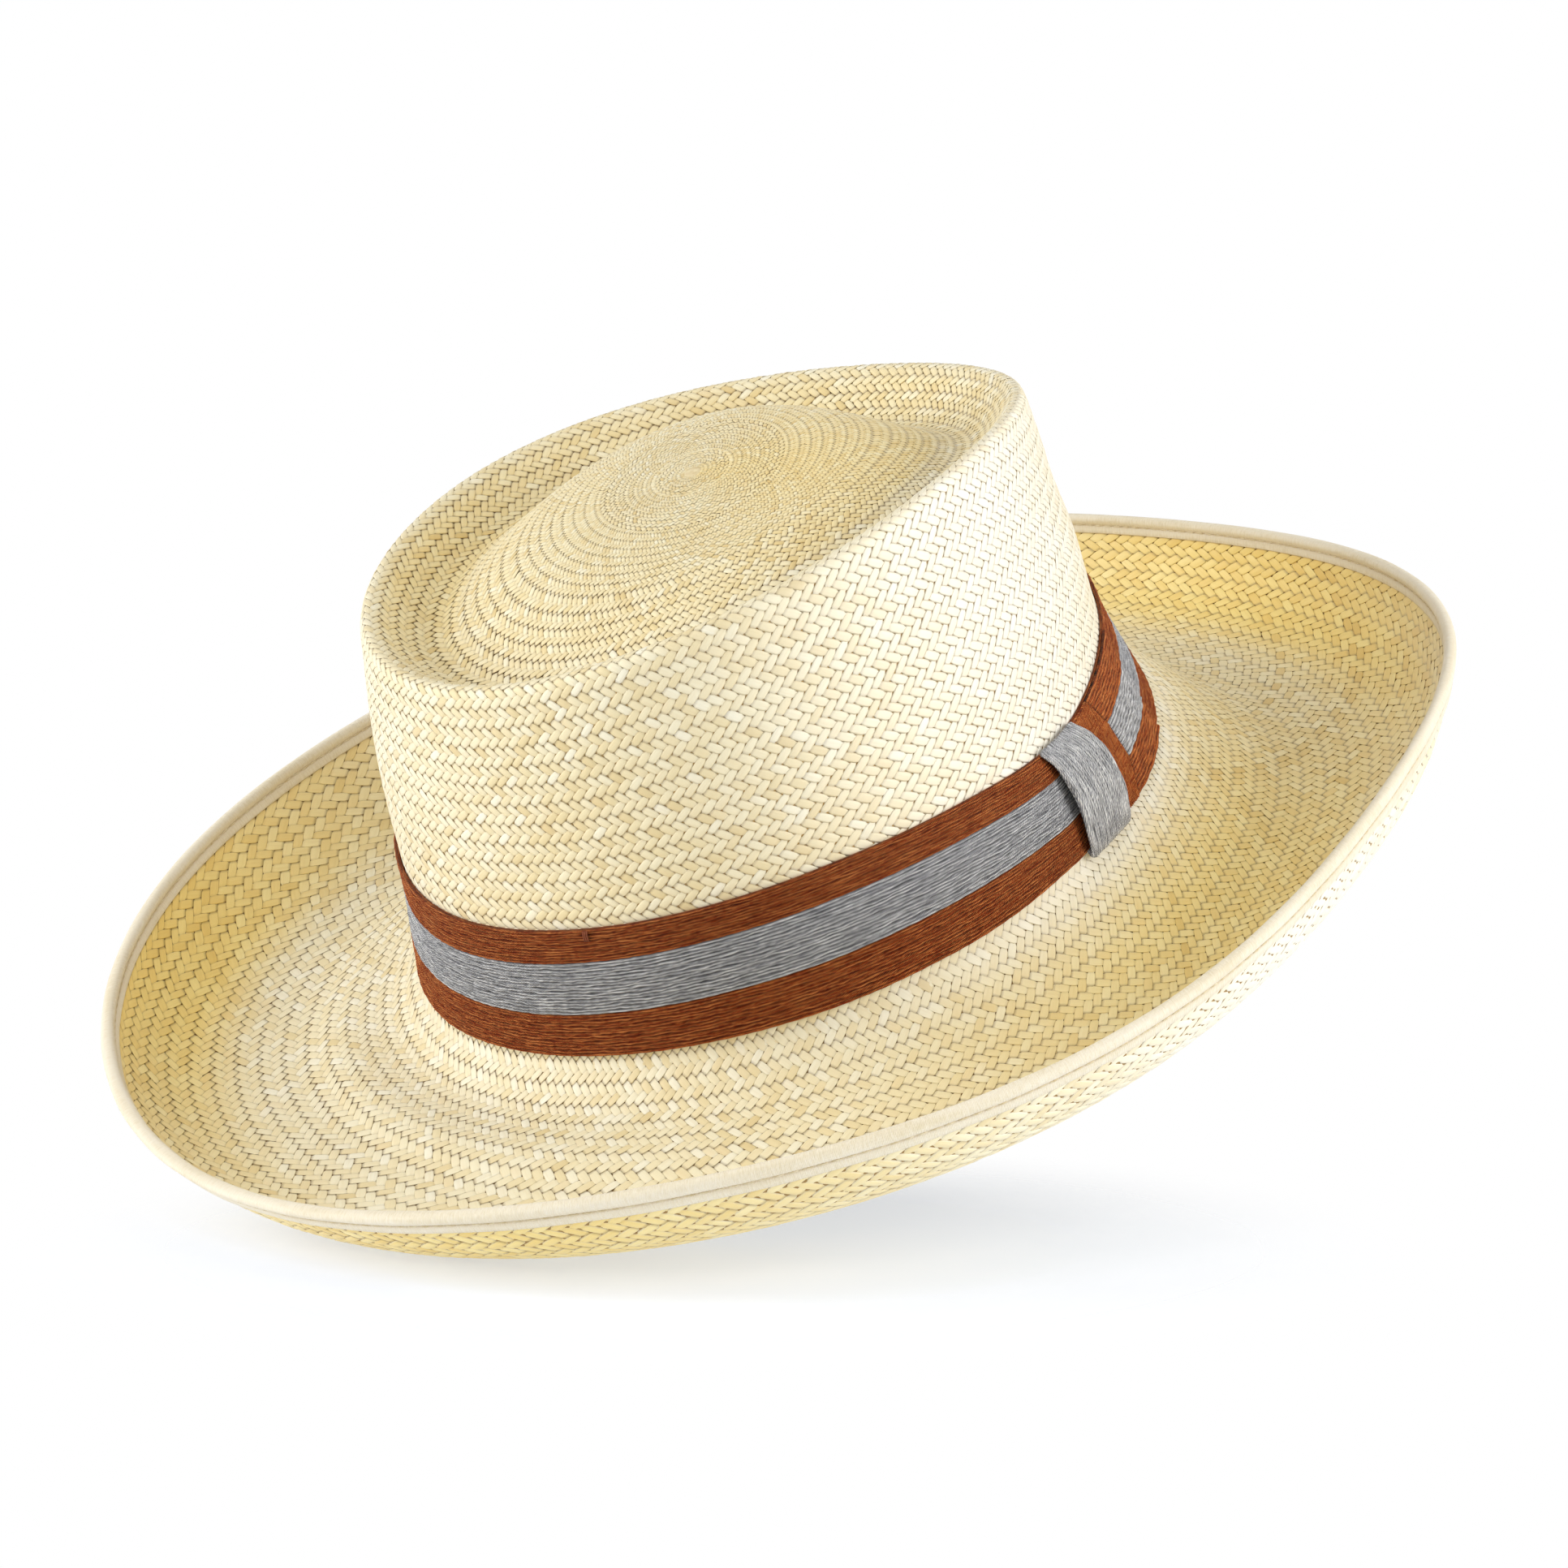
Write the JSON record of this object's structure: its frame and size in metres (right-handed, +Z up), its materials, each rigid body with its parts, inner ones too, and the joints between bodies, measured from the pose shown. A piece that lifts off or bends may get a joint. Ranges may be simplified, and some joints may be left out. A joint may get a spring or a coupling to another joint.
{
  "type": "panama hat",
  "caption": "Wide-brimmed woven straw hat with a telescope crown, up-curled ribbon-bound brim, striped ribbon band with a side bow, and an inner sweatband.",
  "frame": {"origin": "centre of the brim's footprint, on the plane the brim rests on", "axes": "+Z up out of the crown, -Y towards the front of the hat, +X towards the wearer's left, where the bow is"},
  "size_m": [0.3114, 0.362, 0.1246],
  "materials": {
    "straw": "satin woven straw",
    "wire": "drawn wire",
    "binding_ribbon": "ribbed grosgrain ribbon",
    "binding_thread": "sewing thread",
    "band_ribbon": "matte yarn ribbon, rust brown with a grey centre stripe",
    "tack_thread": "sewing thread",
    "keeper_ribbon": "matte yarn ribbon, grey",
    "sweatband_leather": "smooth tan leather",
    "reed_cord": "woven tape, dark brown"
  },
  "bodies": {
    "root": {"straw_body": "straw", "brim_wire": "wire", "brim_binding": "binding_ribbon", "binding_thread_top": "binding_thread", "binding_thread_under": "binding_thread", "hat_band": "band_ribbon", "band_tack_front": "tack_thread", "band_tack_side": "tack_thread", "band_tack_back": "tack_thread", "bow_panel": "band_ribbon", "bow_keeper": "keeper_ribbon", "sweatband": "sweatband_leather", "sweatband_reed": "reed_cord", "sweatband_thread": "binding_thread", "sweatband_bow": "reed_cord"}
  },
  "joints": []
}
